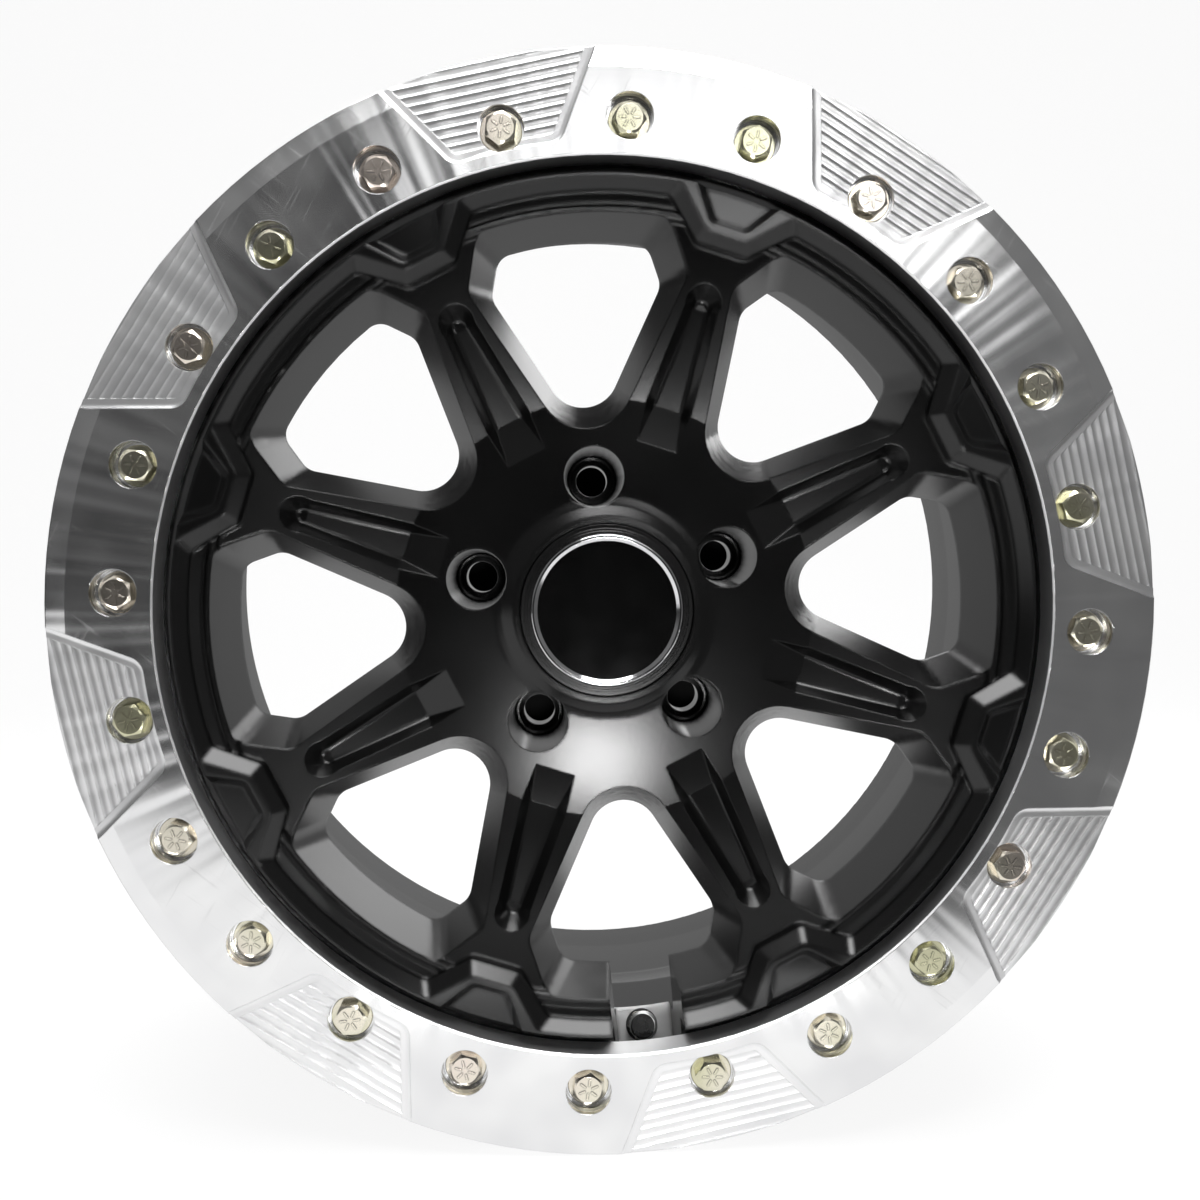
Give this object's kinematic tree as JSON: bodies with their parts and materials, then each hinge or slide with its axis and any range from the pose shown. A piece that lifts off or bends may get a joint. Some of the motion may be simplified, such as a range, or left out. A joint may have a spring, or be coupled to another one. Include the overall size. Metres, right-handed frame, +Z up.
{
  "type": "beadlock wheel",
  "caption": "Off-road beadlock wheel: black cast spoked casting, machined clamp ring held by zinc-plated hex bolts, centre cap and tilted tyre valve.",
  "frame": {"origin": "centre of the wheel: on the spin axis, midway between the two bead planes", "axes": "+Y along the spin axis, pointing inboard out of the hub face, so the clamp ring faces -Y; +Z up with the valve at the bottom"},
  "size_m": [0.476, 0.2312, 0.476],
  "materials": {
    "black_cast_aluminium": "satin black paint on cast aluminium",
    "machined_aluminium": "bright machined, clear coated",
    "yellow_zinc_steel": "yellow zinc plated",
    "black_plastic": "satin",
    "gloss_black_plastic": "gloss",
    "chrome": "bright chrome",
    "spring_steel": "plain wire",
    "nickel_brass": "nickel plated",
    "brass": "plain",
    "black_rubber": "matt",
    "grey_plastic": "satin"
  },
  "bodies": {
    "wheel": {"wheel_casting": "black_cast_aluminium", "beadlock_ring": "machined_aluminium", "ring_bolts": "yellow_zinc_steel", "ring_washers": "yellow_zinc_steel", "cap_body": "black_plastic", "cap_trim_ring": "chrome", "cap_face": "gloss_black_plastic", "cap_clip": "spring_steel", "valve_stem": "nickel_brass", "valve_grommet": "black_rubber", "valve_washer": "black_rubber", "valve_nut": "nickel_brass", "valve_cap": "grey_plastic", "valve_cap_seal": "black_rubber", "valve_core": "brass", "valve_core_seal": "black_rubber", "valve_spring": "spring_steel"},
    "core_pin": {"valve_pin": "brass"}
  },
  "joints": [
    {"name": "valve_pin_press", "type": "slide", "parent": "wheel", "child": "core_pin", "axis": [0.0333, 0.9272, -0.3731], "range_m": [0, 0.0016], "stiffness_N_per_m": 1500, "springref_m": -0.001, "deforming": ["valve_spring"]}
  ]
}
